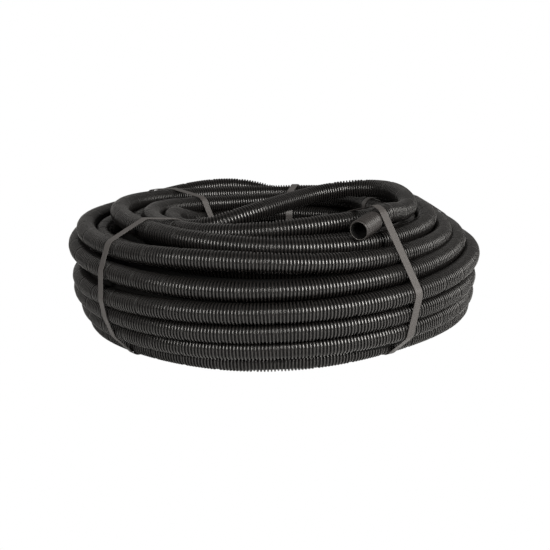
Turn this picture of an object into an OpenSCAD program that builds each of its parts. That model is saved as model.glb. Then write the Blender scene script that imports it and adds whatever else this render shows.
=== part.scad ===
// A coil of corrugated conduit, strapped flat for storage and sale.
// Lengths are millimetres. The coil lies on the floor, centred on the origin, and its free end points forward (-Y).

/* [Conduit] */
// outside diameter over the crests; the coil's lay grows with it
conduit_od = 25; // [20:0.5:32]
// clear bore inside the wall
conduit_bore = 19; // [14:0.5:19.5]
// distance from one crest to the next
rib_pitch = 4; // [3:0.1:6]
// how far the grooves lie below the crests
rib_depth = 2.3; // [0.3:0.1:2.4]
// straight length of the free end
end_length = 66; // [64:0.5:68]

/* [Straps] */
// width of the strapping
strap_width = 10; // [8:0.5:12]
// thickness of the strapping
strap_thick = 0.8; // [0.6:0.1:1.2]
// space between the strapping and the turns
strap_seat = 0.3; // [0.25:0.05:0.5]
// length over which a strap's two ends are welded together
weld_length = 28; // [16:1:36]

/* [Hidden] */

lay = conduit_od / 25;                            // the lay below is drawn for 25 mm conduit
tube_r = conduit_od / 2;
bore_r = conduit_bore / 2;
joint = 0.3;                                      // fine gap between lengths of the conduit that are built apart
floor_z = strap_thick + strap_seat + tube_r;      // centre height of the bottom turns

// turns that lie askew, as [radius, height above the bottom turns, shift right, shift back, right side down, back up]
turns = [
    [243, 0, 3, 5, 0, 0], [256, 25.2, 2.9, -0.7, -0.2, 0.2], [262, 48, 0, -1.6, 0, 0.6],
    [265, 74.1, 2.8, -0.5, -1.8, 0.9], [258.3, 99.9, -8.4, 2.3, 1.1, 1.7], [241.1, 119.6, -10.6, -3.3, 2.1, 0.4],
    [224, 104.4, -8, 0, 1.5, 1], [208.2, 128.4, 1.2, 0.4, 2.4, -0.3], [186, 119, 0, 0, 1.6, -2.4],
    [164, 130.7, -0.8, 0.3, 1, -3.9]
];

// turns that lie level, as [radius, height]: round the eye and on the floor
flat_turns = [
    [156.5, 72.4], [156.5, 48.2], [158, 24.1], [165, 0], [190.5, 0], [216, 0]
] * lay;

// middle of the coil's section, behind the turns
core = [
    [240, 0], [252, 25], [258, 48], [258, 74], [256, 93], [235, 109], [224, 104], [204, 97], [182, 97], [172, 84],
    [156.5, 72.4], [156.5, 48.2], [158, 24.1], [165, 0]
] * lay;

// the last turn round the eye: it runs level as far as the loose end, and at its other end it climbs to the loose end
eye_turn = [156.5, 97.9] * lay;
lift_angle = -143.5;      // where the loose end leaves it, from the front, + to the right
climb_angle = -60;         // where its other end starts to climb
climb = 8.3;              // slope of the climb

// the loose end's way off the coil, across the eye and round to its straight end, as [right, back, height]
loose_way = [
    [-103, 117, 99.6], [-115, 97, 104.6], [-129, 61, 116], [-137, 25, 126.1], [-137, -13, 126.8],
    [-118, -45, 122.7], [-84, -61, 127.4], [-48, -57, 136.6], [-15, -37, 142.3], [12, -10, 144.9], [39, 18, 146.4],
    [70, 40, 148.8], [107, 48, 152], [143, 35, 154], [166, 5, 154.5], [176, -32, 151.5], [175, -70, 147.5],
    [161, -106, 148.5], [149, -129, 152.3]
] * lay;

// the free end: centre of its mouth, its swing to the right and its rise, both going back from the mouth
mouth = [99.5, -205.8, 147.1] * lay + [0, 0, floor_z];
end_swing = 33;
end_rise = 6.7;
end_way = [sin(end_swing) * cos(end_rise), cos(end_swing) * cos(end_rise), sin(end_rise)];

function lifted(p) = p + [0, 0, floor_z];
function round_eye(angle, r, h) = [r * sin(angle), -r * cos(angle), h];

// ---- the coil ----

// one round of conduit, with its middle at the origin
module ring(r, from = 0, sweep = 360)
    rotate([0, 0, from - 90]) rotate_extrude(angle = sweep, $fn = 180) translate([r, 0]) circle(tube_r, $fn = 40);

module turn(t)
    translate([t[2] * lay, t[3] * lay, floor_z + t[1] * lay]) rotate([t[5], t[4], 0]) ring(t[0] * lay);

module eye_turn()
    translate([0, 0, floor_z + eye_turn[1]]) {
        ring(eye_turn[0], climb_angle, 360 + lift_angle - climb_angle);
        // climbs round the hinge line through its start
        rotate([0, 0, climb_angle]) rotate([0, climb, 0]) rotate([0, 0, -climb_angle])
            ring(eye_turn[0], climb_angle - 60, 60.5);
    }

module coil() {
    rotate_extrude($fn = 180) translate([0, floor_z]) {
        polygon(core);
        for (t = flat_turns) translate(t) circle(tube_r, $fn = 40);
    }
    for (t = turns) turn(t);
    eye_turn();
}

// ---- the loose end ----

function unit(v) = v / norm(v);
function curve(a, b, c, d, u) =
    (2 * b + (c - a) * u + (2 * a - 5 * b + 4 * c - d) * u * u + (3 * b - a - 3 * c + d) * u * u * u) / 2;

lift_point = round_eye(lift_angle, eye_turn[0], eye_turn[1]);
lift_way = [cos(lift_angle), sin(lift_angle), 0];
lead = 6;                 // how far the loose end runs straight where it leaves and where it arrives
way = concat(
    [lifted(lift_point + lift_way * joint), lifted(lift_point + lift_way * lead)],
    [for (p = loose_way) lifted(p)],
    [mouth + end_way * (end_length + lead), mouth + end_way * (end_length + joint)]
);
steps = 2;
path = concat(
    [way[0]],
    [for (i = [1 : len(way) - 3], k = [0 : steps - 1]) curve(way[i - 1], way[i], way[i + 1], way[i + 2], k / steps)],
    [way[len(way) - 2], way[len(way) - 1]]
);

// a round bar along the path
module bar(path, r, sides) {
    last = len(path) - 1;
    points = [for (i = [0 : last])
        let (along = unit(path[min(i + 1, last)] - path[max(i - 1, 0)]),
             side = unit(cross(along, [0, 0, 1])), up = cross(side, along))
        for (k = [0 : sides - 1]) path[i] + r * (cos(k * 360 / sides) * side + sin(k * 360 / sides) * up)];
    walls = [for (i = [0 : last - 1], k = [0 : sides - 1]) let (n = (k + 1) % sides)
        [i * sides + k, i * sides + n, (i + 1) * sides + n, (i + 1) * sides + k]];
    polyhedron(points, concat(
        [[for (k = [sides - 1 : -1 : 0]) k]], walls, [[for (k = [0 : sides - 1]) last * sides + k]]
    ));
}

// corrugated wall of the free end along +X from its mouth
module corrugated_end() {
    ribs = floor(end_length / rib_pitch);
    crest = 0.52 * rib_pitch;
    slope = 0.12 * rib_pitch;
    valley_r = tube_r - rib_depth;
    rotate([0, 90, 0]) rotate_extrude($fn = 72)
        polygon(concat(
            [[bore_r, 0]],
            [for (i = [0 : ribs - 1]) let (z = i * rib_pitch)
                each [[tube_r, z], [tube_r, z + crest], [valley_r, z + crest + slope],
                      [valley_r, z + rib_pitch - slope]]],
            [[valley_r, end_length], [bore_r, end_length]]
        ));
}

module free_end()
    translate(mouth) rotate([0, 0, 90 - end_swing]) rotate([0, -end_rise, 0]) corrugated_end();

module conduit()
    color([0.09, 0.09, 0.1]) {
        coil();
        bar(path, tube_r, 16);
        free_end();
    }

// ---- the straps ----

// A strap lies in an upright plane at an angle from the front, which passes a little way off to the right of the
// coil's middle. These give where things cross such a plane, as [distance out, height].
function crossing(t, angle, off) =
    let (at = angle + asin(off / (t[0] * lay)), right = t[0] * sin(at), back = -t[0] * cos(at))
    [sqrt(pow(t[0] * lay, 2) - off * off) + (t[2] * sin(angle) - t[3] * cos(angle)) * lay,
     (t[1] - right * tan(t[4]) + back * tan(t[5])) * lay + floor_z];
function end_crossing(angle, off) =
    let (across = [cos(angle), sin(angle), 0], out = [sin(angle), -cos(angle), 0],
         p = mouth + end_way * (off - across * mouth) / (across * end_way))
    [out * p, p[2]];

// the loose end where its strap passes over it, and how much wider the conduit measures where it crosses aslant
lift_crossing = [153.5, 100] * lay + [0, floor_z];
aslant = 1.1;

// what a strap pulls tight round
module strapped(angle, off, over_end, over_lift)
    hull() {
        for (edge = [off - strap_width / 2, off + strap_width / 2]) {
            for (t = turns) translate(crossing(t, angle, edge)) circle(tube_r, $fn = 48);
            if (over_end) translate(end_crossing(angle, edge)) circle(tube_r * aslant, $fn = 48);
        }
        if (over_lift) translate(lift_crossing) circle(tube_r * aslant, $fn = 48);
        for (t = concat(flat_turns, [eye_turn])) translate(t + [0, floor_z]) circle(tube_r, $fn = 48);
    }

// the strip between two distances out from what the strap goes round
module strip(angle, off, over_end, over_lift, from, to)
    difference() {
        offset(delta = to) strapped(angle, off, over_end, over_lift);
        offset(delta = from) strapped(angle, off, over_end, over_lift);
    }

module strap(angle, weld_at, off = 0, over_end = false, over_lift = false)
    color([0.33, 0.31, 0.31])
        rotate([0, 0, angle - 90]) translate([0, off, 0]) rotate([90, 0, 0])
            linear_extrude(strap_width, center = true) {
                strip(angle, off, over_end, over_lift, strap_seat, strap_seat + strap_thick);
                // its other end, welded on
                intersection() {
                    strip(angle, off, over_end, over_lift, strap_seat + strap_thick / 2, strap_seat + 2 * strap_thick);
                    translate(weld_at) circle(weld_length / 2, $fn = 32);
                }
            }

// where the straps' ends are welded together, as [distance out, height]: half way up the eye, and out from the free end
inner_weld = [eye_turn[0] - tube_r, floor_z + eye_turn[1] / 2];
top_weld = [232, 140] * lay + [0, floor_z];

module strap_front_left() strap(-50, inner_weld);
module strap_front_right() strap(31, top_weld, off = 26, over_end = true);
module strap_back_left() strap(-136, inner_weld, over_lift = true);
module strap_back() strap(170, inner_weld);
module strap_back_right() strap(107, inner_weld);

conduit();
strap_front_left();
strap_front_right();
strap_back_left();
strap_back();
strap_back_right();
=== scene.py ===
import math

import bpy
import numpy as np
from mathutils import Matrix, Vector


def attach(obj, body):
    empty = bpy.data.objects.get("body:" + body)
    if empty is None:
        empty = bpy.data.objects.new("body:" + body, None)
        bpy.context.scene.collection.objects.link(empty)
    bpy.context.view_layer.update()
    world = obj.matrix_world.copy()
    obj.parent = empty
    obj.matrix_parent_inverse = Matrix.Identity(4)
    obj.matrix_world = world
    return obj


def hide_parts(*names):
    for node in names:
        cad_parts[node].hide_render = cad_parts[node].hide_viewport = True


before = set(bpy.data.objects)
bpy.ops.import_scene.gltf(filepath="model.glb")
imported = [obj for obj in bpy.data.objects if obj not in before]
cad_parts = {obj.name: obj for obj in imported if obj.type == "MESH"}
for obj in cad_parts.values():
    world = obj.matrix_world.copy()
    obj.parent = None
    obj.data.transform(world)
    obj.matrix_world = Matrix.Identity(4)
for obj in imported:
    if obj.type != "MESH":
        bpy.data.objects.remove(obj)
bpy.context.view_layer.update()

# The coil, the straps and the floor are drawn in millimetres; the lamps and the camera are in metres.
# Angles round the coil run from the front (-Y), + to the right, and are degrees where nothing else is said.

MM = 0.001
UP = np.array([0, 0, 1.0])


# ================================================================ sizes

TUBE_R = 12.5                    # radius over the crests
BORE_R = 9.5
GROOVE = 2.3                     # how far the grooves lie below the crests
PITCH = 4.0                      # from one rib to the next
FLOOR = 13.6                     # centre height of the bottom turns

STRAP_WIDTH = 10.0
STRAP_THICK = 0.8
STRAP_SEAT = 0.35                # space between a strap and the turns

# One rib along the wall, as (part of the pitch, depth below the crests). The hidden turns have plainer ribs,
# and the grooves of the free end look filled, since they are seen nearly end on.
RIB = [(0.0, GROOVE), (0.07, 0.22), (0.27, 0.0), (0.47, 0.22), (0.54, GROOVE)]
PLAIN_RIB = [(0.0, GROOVE), (0.1, 0.1), (0.44, 0.1), (0.54, GROOVE)]
SOFT_RIB = [(0.0, 0.9), (0.14, 0.12), (0.3, 0.0), (0.46, 0.12), (0.6, 0.9)]
SEAM_RIBS = 11                   # ribs from one mould seam, a slightly low rib, to the next
SEAM_DROP = 0.7

# faces round each tube, and round the dark surface behind the turns
SIDES = 16
HIDDEN_SIDES = 12
LOOSE_SIDES = 20
FREE_END_SIDES = 24
BORE_SIDES = 32
CORE_SIDES = 120


# ================================================================ the lay of the coil

def make_turn(radius, height, in_out=(), up_down=(), presses=()):
    """One turn of the coil: its mean radius, and the mean height of its centre.
    in_out, up_down: its waves, as (count round the coil, amount, angle of the peak times count);
    presses: where other things push it, as (angle, half width in degrees, how far down, how far inward)."""
    return {"radius": radius, "height": height, "in_out": in_out, "up_down": up_down, "presses": presses}


# Most of the radii, heights and waves below weren't chosen by hand. Scratch programs fitted them to the
# photo by least squares, and the depth of turn_a's press at 176 too.
SEEN_TURNS = {
    "turn_a": make_turn(241.1, 132.8, [(1, 11.1, -73), (2, .7, -66), (3, .7, 87)],
                        [(1, 8.6, -98), (2, 2.4, -39), (3, .8, -52), (4, .9, 92), (5, 1.7, -74)],
                        [(176, 11, 8.9, 0), (-161, 24, -5.2, 0)]),
    "turn_b": make_turn(258.2, 113.8, [(1, 8.7, -105), (2, 1.3, 3)],
                        [(1, 8.3, -144), (2, 2.0, 159), (3, .5, 133)]),
    "turn_c": make_turn(265.0, 87.8, [(1, 5.1, 34), (2, 1.3, -44)],
                        [(1, 9.1, 117), (2, 2.0, -115), (3, .7, -81)], [(100, 20, 3.5, 1.5)]),
    "turn_d": make_turn(261.9, 61.8, [(1, 1.6, 0)], [(1, 2.0, -178), (2, 1.5, 139), (3, 1.0, 128)]),
    "turn_e": make_turn(256.0, 38.6, [(1, 3.0, 76), (2, .8, -173)],
                        [(1, 1.3, 131), (2, 1.4, 151), (3, .9, 165)]),
    "turn_f": make_turn(241.9, 13.9, [(1, 8.5, 149), (2, 5.1, -162), (3, 3.4, -98), (4, 6.3, 8)],
                        [], [(80, 22, 0, 3.5)]),
    "turn_g": make_turn(224.5, 119.1, [(1, 7.0, -90)], [(1, 9.9, -76), (2, 2.5, -124), (3, 1.3, -75)]),
    "turn_h": make_turn(208.2, 143.5, [(1, 1.2, 109), (2, .6, 87)],
                        [(1, 9.6, -66), (2, 5.0, -152), (3, .6, 59)]),
    "turn_v": make_turn(186.0, 133.0, [], [(1, 9.4, -33)]),
    "turn_u": make_turn(164.0, 144.3, [(1, .9, -108), (2, .8, -120)],
                        [(1, 11.1, 0), (2, 1.9, 139), (3, 2.7, 81)], [(97, 34, 0, 18)]),
}
HIDDEN_TURNS = {
    "eye_c": make_turn(156.5, 86.0),
    "eye_d": make_turn(156.5, 61.8),
    "eye_e": make_turn(158.0, 37.7),
    "floor_a": make_turn(165.0, FLOOR),
    "floor_b": make_turn(190.5, FLOOR),
    # its wave follows turn_f's fourth one
    "floor_c": make_turn(214.0, FLOOR, [(4, 3.5, 8)]),
}

# the plain dark surface that closes the gaps behind the turns, as (radius, height)
CORE = [(240, FLOOR), (252, 38.6), (256, 61.6), (257, 87.6), (252, 102), (236, 112), (224, 115), (204, 113),
        (182, 110.6), (172, 97.6), (156.5, 86), (156.5, 61.8), (158, 37.7), (165, FLOOR)]

# the last turn round the eye: level as far as the loose end, and at its other end it dips to the turn below
EYE_R, EYE_Z = 156.5, 111.5
LIFT_ANGLE = -143.5              # where the loose end leaves it
DIP_ANGLE = -60.0                # where it starts to dip
DIP_SWEEP = 60                   # degrees over which it dips
DIP_DEPTH = 13.0

# The loose end's way off that turn, across the eye and round to the free end. Scratch programs fitted it to
# the photo by least squares and spaced its points. Then the first two and the last were moved, and the five
# before the last were raised.
LOOSE_WAY = [(-103, 117, 113.2), (-115, 97, 118.2), (-129, 61, 129.6), (-137, 25, 139.7), (-137, -13, 140.4),
             (-118, -45, 136.3), (-84, -61, 141.0), (-48, -57, 150.2), (-15, -37, 155.9), (12, -10, 158.5),
             (39, 18, 160.0), (70, 40, 162.4), (107, 48, 165.6), (143, 35, 167.6), (166, 5, 168.1),
             (176, -32, 165.1), (175, -70, 161.1), (161, -106, 162.1), (149, -129, 165.9)]

# The free end: the centre of its mouth and its direction back from there, both from the same fit, and
# lengths along it.
MOUTH = np.array([99.5, -205.8, 160.7])
SWING, RISE = math.radians(33), math.radians(6.7)
BACK = np.array([math.sin(SWING) * math.cos(RISE), math.cos(SWING) * math.cos(RISE), math.sin(RISE)])
STRAIGHT = 66.0
SOFT = 40.0                      # where its grooves look filled
NOSE = 2.4                       # the rounded edge of its mouth


# ================================================================ curves

def at_angle(az, r, z):
    """Points r from the middle and z high, at angles az (radians)."""
    return np.stack([r * np.sin(az), -r * np.cos(az), z + 0 * az], -1)


def waves(mean, parts, az):
    """A mean with its waves, at angles az (radians)."""
    return mean + sum(amount * np.cos(count * az - math.radians(peak)) for count, amount, peak in parts)


def around(turn, az):
    """Points of a turn at angles az (radians)."""
    r = waves(turn["radius"], turn["in_out"], az) + 0 * az
    z = waves(turn["height"], turn["up_down"], az) + 0 * az
    for angle, half_width, down, inward in turn["presses"]:
        apart = (np.degrees(az) - angle + 180) % 360 - 180
        near = np.exp(-(apart / half_width) ** 2)
        r = r - inward * near
        z = z - down * near
    return at_angle(az, r, z)


def spline(points, steps=12):
    """Catmull-Rom curve through all the points but the first and last."""
    p = np.array(points, float)
    out = []
    for i in range(1, len(p) - 2):
        a, b, c, d = p[i - 1:i + 3]
        for u in np.arange(steps) / steps:
            out.append((2 * b + (c - a) * u + (2 * a - 5 * b + 4 * c - d) * u * u
                        + (3 * b - a - 3 * c + d) * u ** 3) / 2)
    out.append(p[-2])
    return np.array(out)


# ================================================================ meshes

def add_mesh(name, verts, faces, material, smooth=True):
    """A mesh object from points in millimetres."""
    mesh = bpy.data.meshes.new(name)
    mesh.from_pydata((np.asarray(verts) * MM).tolist(), [], [list(map(int, f)) for f in faces])
    mesh.materials.append(material)
    if smooth:
        mesh.polygons.foreach_set("use_smooth", [True] * len(mesh.polygons))
    mesh.update()
    obj = bpy.data.objects.new(name, mesh)
    bpy.context.collection.objects.link(obj)
    return obj


def ring_faces(rings, sides, closed):
    """Four-sided faces between each ring of points and the next."""
    i = np.arange(rings if closed else rings - 1)[:, None]
    k = np.arange(sides)[None, :]
    j = (i + 1) % rings
    n = (k + 1) % sides
    return np.stack([i * sides + k, i * sides + n, j * sides + n, j * sides + k], -1).reshape(-1, 4)


def spokes(along, sides):
    """Unit vectors from the middle of a tube to its sides, for one direction along it or for many."""
    side = np.cross(along, UP)
    side /= np.linalg.norm(side, axis=-1, keepdims=True)
    up = np.cross(side, along)
    a = (np.arange(sides) * 2 * math.pi / sides)[:, None]
    return np.cos(a) * side[..., None, :] + np.sin(a) * up[..., None, :]


def rib_rings(path, closed, rib):
    """Centres, directions and radii of the rings of a corrugated wall along a path."""
    p = np.vstack([path, path[:1]]) if closed else path
    s = np.r_[0, np.cumsum(np.linalg.norm(np.diff(p, axis=0), axis=1))]
    length = s[-1]
    reach = 3                    # how far to each side the direction is taken

    def point_at(station):
        station = station % length if closed else np.clip(station, 0, length)
        return np.stack([np.interp(station, s, p[:, i]) for i in range(3)], -1)

    count = max(1, round(length / PITCH))
    parts = np.array([part for part, _ in rib])
    stations = (np.arange(count)[:, None] + parts[None, :]).ravel() * (length / count)
    radii = np.tile([TUBE_R - depth for _, depth in rib], (count, 1))
    radii[::SEAM_RIBS, 1:-1] -= SEAM_DROP
    radii = radii.ravel()
    if not closed:
        stations = np.r_[stations, length]
        radii = np.r_[radii, TUBE_R]
    along = point_at(stations + reach) - point_at(stations - reach)
    along /= np.linalg.norm(along, axis=1)[:, None]
    return point_at(stations), along, radii


def tube(name, path, closed, material, sides=SIDES, rib=RIB, paint_groove_shade=True):
    """A corrugated tube along a path, with the edges of its crests sharp."""
    centres, along, radii = rib_rings(path, closed, rib)
    verts = centres[:, None] + radii[:, None, None] * spokes(along, sides)
    obj = add_mesh(name, verts.reshape(-1, 3), ring_faces(len(centres), sides, closed), material)
    mesh = obj.data
    last = len(rib) - 1
    # the faces in the grooves get the darker copy of the plastic: painted shade
    if paint_groove_shade:
        mesh.materials.append(groove_plastic)
        part = np.arange(len(mesh.polygons)) // sides % len(rib)
        in_painted_groove_shade = np.isin(part, (0, last - 1, last))
        mesh.polygons.foreach_set("material_index", in_painted_groove_shade.astype(np.int32))
    ends = np.empty(len(mesh.edges) * 2, np.int32)
    mesh.edges.foreach_get("vertices", ends)
    ring = ends.reshape(-1, 2) // sides
    round_the_tube = ring[:, 0] == ring[:, 1]
    at_crest_edge = np.isin(ring[:, 0] % len(rib), (1, last - 1))
    mesh.edges.foreach_set("use_edge_sharp", round_the_tube & at_crest_edge)
    return obj


# ================================================================ materials

def new_material(name):
    made = bpy.data.materials.new(name)
    made.use_nodes = True
    return made


def plastic(name, colour, roughness, specular=0.5):
    made = new_material(name)
    inputs = made.node_tree.nodes["Principled BSDF"].inputs
    inputs["Base Color"].default_value = (*colour, 1)
    inputs["Roughness"].default_value = roughness
    inputs["Specular IOR Level"].default_value = specular
    return made


black_plastic = plastic("black_plastic", colour=(.007, .0061, .0058), roughness=.28)
# a rougher, lighter copy of the plastic for the free end and the mouth's rounded edge: its lighter colour is
# a painted sheen
dull_plastic = plastic("dull_plastic", colour=(.012, .0105, .010), roughness=.42, specular=.3)
# a darker, less shiny copy of the plastic for the grooves: painted shade in the grooves
groove_plastic = plastic("groove_plastic", colour=(.002, .002, .002), roughness=.55, specular=.2)
# a darker, nearly unshiny copy of the plastic for the bore: painted shade inside the tube
inside = plastic("inside", colour=(.003, .003, .003), roughness=.8, specular=.05)
cut_edge = plastic("cut_edge", colour=(.05, .048, .045), roughness=.3)
deep_shade = plastic("deep_shade", colour=(.003, .003, .003), roughness=.85, specular=.1)
strapping = plastic("strapping", colour=(.032, .029, .028), roughness=.48)


# ================================================================ the coil

def coil_turns():
    az = np.radians(np.arange(0, 360, 1.0))
    seen = [tube(name, around(turn, az), True, black_plastic) for name, turn in SEEN_TURNS.items()]
    hidden = [tube(name, around(turn, az), True, black_plastic, HIDDEN_SIDES, PLAIN_RIB)
              for name, turn in HIDDEN_TURNS.items()]
    return seen + hidden


def level_way():
    """The level part of the last turn round the eye, a point for each degree."""
    az = np.radians(np.arange(DIP_ANGLE, 360 + LIFT_ANGLE + .5, 1.0))
    return at_angle(az, EYE_R, EYE_Z)


def eye_turn():
    az = np.radians(np.arange(DIP_ANGLE - DIP_SWEEP, DIP_ANGLE, 1.0))
    sunk = (1 - np.cos(az - math.radians(DIP_ANGLE))) / (1 - math.cos(math.radians(DIP_SWEEP)))
    dip_way = at_angle(az, EYE_R, EYE_Z - DIP_DEPTH * sunk)
    return tube("eye_b", np.vstack([dip_way, level_way()]), False, black_plastic)


def loose_end():
    """The conduit from the turn round the eye to the part of the free end whose grooves look filled."""
    level = level_way()
    before, leaves = level[-8], level[-1]
    run_in, beyond = 4, 20
    ways_back = (STRAIGHT + run_in, STRAIGHT, (STRAIGHT + SOFT) / 2, SOFT, SOFT - beyond)
    # the points before and beyond only steer the curve
    way = spline([before, leaves, *LOOSE_WAY, *(MOUTH + BACK * d for d in ways_back)])
    return tube("loose_end", way, False, black_plastic, LOOSE_SIDES)


def free_end():
    way = MOUTH + BACK * np.array([[SOFT], [NOSE]])
    # the free end gets the copy of the plastic with the painted sheen
    return tube("free_end", way, False, dull_plastic, FREE_END_SIDES, SOFT_RIB, paint_groove_shade=False)


def bore():
    """The rounded edge of the mouth, and the grooved bore behind it."""
    bore_start = 3.0
    grooves = 15
    groove = [(0, .9), (1.7, 1.5), (1.7, 3.2), (0, 3.8)]     # as (depth, distance along the bore)
    # the rings of the surface, as (radius, distance back from the mouth)
    rings = [(TUBE_R - .1, NOSE), (TUBE_R - .3, 1.1), (TUBE_R - .8, .3), (TUBE_R - 1.3, 0.0),
             (TUBE_R - 1.8, .1), (TUBE_R - 2.0, .8), (BORE_R, bore_start)]
    for start in bore_start + PITCH * np.arange(grooves):
        rings += [(BORE_R + depth, start + z) for depth, z in groove]
    rings.append((0.01, STRAIGHT))       # all but closed at the back
    out = spokes(BACK, BORE_SIDES)
    verts = np.vstack([MOUTH + BACK * z + r * out for r, z in rings])
    obj = add_mesh("bore", verts, ring_faces(len(rings), BORE_SIDES, False), inside)
    obj.data.materials.append(dull_plastic)
    obj.data.materials.append(cut_edge)
    in_painted_bore_shade, in_painted_sheen, in_cut = range(3)
    bands = len(rings) - 1
    # the mouth's rounded edge gets the painted sheen
    slots = [in_painted_sheen] * 3 + [in_cut]
    # the rest of the bore gets the painted shade
    slots += [in_painted_bore_shade] * (bands - len(slots))
    obj.data.polygons.foreach_set("material_index", np.repeat(slots, BORE_SIDES).astype(np.int32))
    return obj


def behind():
    az = np.arange(CORE_SIDES) * 2 * math.pi / CORE_SIDES
    verts = np.vstack([at_angle(az, r, z) for r, z in CORE])
    return add_mesh("behind", verts, ring_faces(len(CORE), CORE_SIDES, True), deep_shade)


for obj in [*coil_turns(), eye_turn(), loose_end(), free_end(), bore(), behind()]:
    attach(obj, "root")
    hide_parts("conduit")


# ================================================================ the straps

SWAY_HEIGHTS = (0, 85, 175)      # the floor, half way up and the top
SKEW_RADII = (150, 240)          # in the eye and outside
LIFT_CROSSING = (153.5, 113.6)   # where the back left strap crosses the loose end, as (distance out, height)
LIFT_CLIMB = 1.5                 # how far the loose end climbs over half that strap's width
LIFT_SLANT = 1.05                # how much wider it is in the strap's plane, which it crosses at a slant
END_SLANT = 1.06                 # and the free end in the plane of the front right strap


def turns_left(a, b, c):
    return (b[0] - a[0]) * (c[1] - a[1]) - (b[1] - a[1]) * (c[0] - a[0]) > 0


def half_hull(points):
    """One side of the convex hull of sorted points, without its last point."""
    out = []
    for p in points:
        while len(out) > 1 and not turns_left(out[-2], out[-1], p):
            out.pop()
        out.append(p)
    return out[:-1]


def hull(points):
    in_order = sorted(map(tuple, points))
    return np.array(half_hull(in_order) + half_hull(in_order[::-1]))


def circle(centre, r, points=48):
    a = np.arange(points) * 2 * math.pi / points
    return np.stack([centre[0] + r * np.cos(a), centre[1] + r * np.sin(a)], -1)


def crossing(turn, az, off):
    """Where a turn crosses an upright plane at angle az (radians), as (distance out, height).
    The plane passes off to the right of the middle."""
    out = np.array([math.sin(az), -math.cos(az), 0])
    angle = np.array([az])
    for _ in range(4):           # each step brings it closer
        p = around(turn, angle)[0]
        angle = az + np.arcsin(np.array([off / math.hypot(p[0], p[1])]))
    p = around(turn, angle)[0]
    return p @ out, p[2]


def strap(name, angle, offset=0.0, sway=(0, 0, 0), skew=(0, 0), over_end=False, over_lift=False):
    """A band in an upright plane at an angle from the front, which passes offset to the right of the middle.
    sway: how far it strays from that plane at the SWAY_HEIGHTS; skew: how far at the SKEW_RADII;
    over_end, over_lift: it also goes round the free end, or round the start of the loose end."""
    az = math.radians(angle)
    across = np.array([math.cos(az), math.sin(az), 0])
    out = np.array([math.sin(az), -math.cos(az), 0])
    seat = TUBE_R + STRAP_SEAT

    rounds = []
    for edge in (-1, 1):
        off = offset + edge * STRAP_WIDTH / 2
        for turn in [*SEEN_TURNS.values(), *HIDDEN_TURNS.values()]:
            rounds.append(circle(crossing(turn, az, off), seat))
        if over_end:
            p = MOUTH + BACK * ((off - MOUTH @ across) / (BACK @ across))
            rounds.append(circle((p @ out, p[2]), seat * END_SLANT))
        if over_lift:
            far, high = LIFT_CROSSING
            rounds.append(circle((far, high + edge * LIFT_CLIMB), seat * LIFT_SLANT))
    rounds.append(circle((EYE_R, EYE_Z), seat))

    inner = hull(np.vstack(rounds))
    d = np.roll(inner, -1, 0) - np.roll(inner, 1, 0)
    normal = np.stack([d[:, 1], -d[:, 0]], -1) / np.linalg.norm(d, axis=1)[:, None]
    outer = inner + normal * STRAP_THICK

    edges = []
    for side, ring in ((-1, inner), (-1, outer), (1, outer), (1, inner)):
        lean = offset + np.interp(ring[:, 1], SWAY_HEIGHTS, sway) + side * STRAP_WIDTH / 2
        lean += np.interp(ring[:, 0], SKEW_RADII, skew)
        edges.append(out * ring[:, :1] + across * lean[:, None] + UP * ring[:, 1:])
    faces = ring_faces(len(edges), len(inner), True)
    obj = add_mesh(name + "_band", np.vstack(edges), faces, strapping, smooth=False)
    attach(obj, "root")
    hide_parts(name)


strap("strap_front_left", -50, sway=(6, 5, 1))
strap("strap_front_right", 31, offset=26, sway=(-5, 0, -3), over_end=True)
strap("strap_back_left", -136, skew=(-8, 14), over_lift=True)
strap("strap_back", 170)
strap("strap_back_right", 107)


# ================================================================ the ground

WHITE = (1, 1, 1, 1)
GROUND_GREY = (.8, .8, .8, 1)
GROUND_HALF = 8000
GROUND_Z = -0.2                  # just below the straps


def show_camera(tree, lit, seen, output):
    """Gives the output one shader for the camera's rays, and another for the light."""
    rays = tree.nodes.new("ShaderNodeLightPath")
    pick = tree.nodes.new("ShaderNodeMixShader")
    tree.links.new(rays.outputs["Is Camera Ray"], pick.inputs[0])
    tree.links.new(lit.outputs[0], pick.inputs[1])
    tree.links.new(seen.outputs[0], pick.inputs[2])
    tree.links.new(pick.outputs[0], tree.nodes[output].inputs[0])


def white_ground():
    """A wide floor that the camera sees as plain white."""
    ground = new_material("white_ground")
    tree = ground.node_tree
    matte = tree.nodes["Principled BSDF"]
    matte.inputs["Base Color"].default_value = GROUND_GREY
    glow = tree.nodes.new("ShaderNodeEmission")
    glow.inputs["Color"].default_value = WHITE
    glow.inputs["Strength"].default_value = 1.0
    show_camera(tree, matte, glow, "Material Output")
    corners = [(x * GROUND_HALF, y * GROUND_HALF, GROUND_Z) for x, y in ((-1, -1), (1, -1), (1, 1), (-1, 1))]
    return add_mesh("ground", corners, [(0, 1, 2, 3)], ground, smooth=False)


floor = white_ground()


# ================================================================ the light

SURROUND_COLOUR = (1, .965, .93, 1)
LAMP_COLOUR = (1, .975, .93)
# How bright the surroundings are, as (place, strength), where place is 0 in front and 1 straight behind.
# They are dim in front and brightest over the back.
FRONT_TO_BACK = [(.35, .03), (.75, .36), (.90, .48), (.965, .52), (1.0, .3)]
# the share of that at the left and at the right, as (X of the direction, share)
LEFT_SHARE, RIGHT_SHARE = (-.8, 1.7), (.3, .75)


def map_range(tree, value, start, end):
    """A node that maps a value between two points, each as (value in, value out)."""
    node = tree.nodes.new("ShaderNodeMapRange")
    node.inputs["From Min"].default_value, node.inputs["To Min"].default_value = start
    node.inputs["From Max"].default_value, node.inputs["To Max"].default_value = end
    tree.links.new(value, node.inputs["Value"])
    return node


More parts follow.
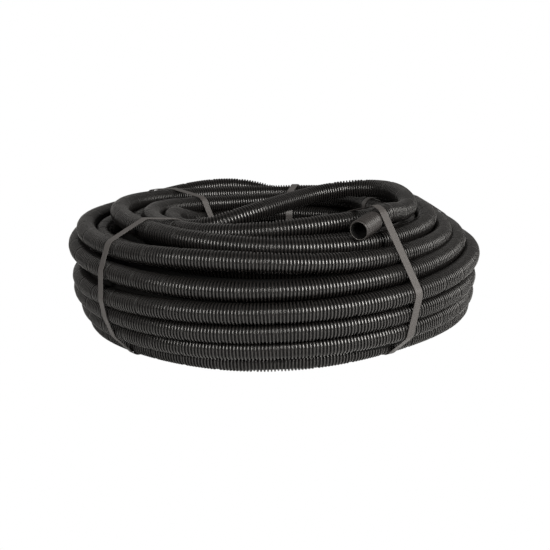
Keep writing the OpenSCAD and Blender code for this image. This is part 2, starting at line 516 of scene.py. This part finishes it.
def surround():
    """Surroundings that light the coil softly, and that the camera sees as plain white."""
    world = bpy.data.worlds.new("surround")
    bpy.context.scene.world = world
    world.use_nodes = True
    tree = world.node_tree
    where = tree.nodes.new("ShaderNodeTexCoord")
    split = tree.nodes.new("ShaderNodeSeparateXYZ")
    tree.links.new(where.outputs["Generated"], split.inputs[0])

    depth = map_range(tree, split.outputs["Y"], (-1, 0), (1, 1))
    shine = tree.nodes.new("ShaderNodeValToRGB")
    ramp = shine.color_ramp.elements
    first, *middle, last = FRONT_TO_BACK
    for stop, (place, grey) in ((ramp[0], first), (ramp[1], last)):
        stop.position = place
        stop.color = (grey, grey, grey, 1)
    for place, grey in middle:
        ramp.new(place).color = (grey, grey, grey, 1)
    tree.links.new(depth.outputs[0], shine.inputs[0])

    flank = map_range(tree, split.outputs["X"], LEFT_SHARE, RIGHT_SHARE)
    both = tree.nodes.new("ShaderNodeMath")
    both.operation = "MULTIPLY"
    tree.links.new(shine.outputs[0], both.inputs[0])
    tree.links.new(flank.outputs[0], both.inputs[1])

    soft = tree.nodes["Background"]
    soft.inputs["Color"].default_value = SURROUND_COLOUR
    tree.links.new(both.outputs[0], soft.inputs["Strength"])
    plain = tree.nodes.new("ShaderNodeBackground")
    plain.inputs["Color"].default_value = WHITE
    plain.inputs["Strength"].default_value = 1.0
    show_camera(tree, soft, plain, "World Output")


def softbox(name, azimuth, elevation, distance, width, height, power):
    """A soft lamp that looks at the coil, its azimuth from the front, + to the right. Metres and watts."""
    a, e = math.radians(azimuth), math.radians(elevation)
    away = Vector((math.sin(a) * math.cos(e), -math.cos(a) * math.cos(e), math.sin(e)))
    coil_middle = Vector((0, 0, .08))
    light = bpy.data.lights.new(name, "AREA")
    light.shape = "RECTANGLE"
    light.size = width
    light.size_y = height
    light.energy = power
    light.color = LAMP_COLOUR
    obj = bpy.data.objects.new(name, light)
    obj.location = away * distance + coil_middle
    obj.rotation_euler = (-away).to_track_quat("-Z", "Y").to_euler()
    bpy.context.collection.objects.link(obj)


surround()
softbox("left_box", azimuth=-30, elevation=26, distance=2.0, width=.5, height=1.0, power=32)
softbox("right_box", azimuth=38, elevation=26, distance=2.0, width=.6, height=1.0, power=71)
softbox("right_fill", azimuth=100, elevation=16, distance=2.2, width=1.2, height=.9, power=21)


# ================================================================ the camera

# a scratch program fitted the camera to the photo by least squares
CAMERA_AT = (.0005, -1.3244, .4067)
LOOK_DOWN, ROLL = math.radians(14.83), math.radians(1.76)
FOCAL_LENGTH, SENSOR_WIDTH = 64.26, 36     # mm


def add_camera():
    right = np.array([1.0, 0, 0])
    ahead = np.array([0, math.cos(LOOK_DOWN), -math.sin(LOOK_DOWN)])
    top = np.cross(right, ahead)
    across = math.cos(ROLL) * right - math.sin(ROLL) * top
    upward = math.sin(ROLL) * right + math.cos(ROLL) * top
    lens = bpy.data.cameras.new("camera")
    lens.lens = FOCAL_LENGTH
    lens.sensor_width = SENSOR_WIDTH
    camera = bpy.data.objects.new("camera", lens)
    rows = np.column_stack([across, upward, -ahead, CAMERA_AT]).tolist()
    camera.matrix_world = Matrix([*rows, (0, 0, 0, 1)])
    bpy.context.collection.objects.link(camera)
    bpy.context.scene.camera = camera


add_camera()
bpy.context.scene.view_settings.view_transform = "Standard"
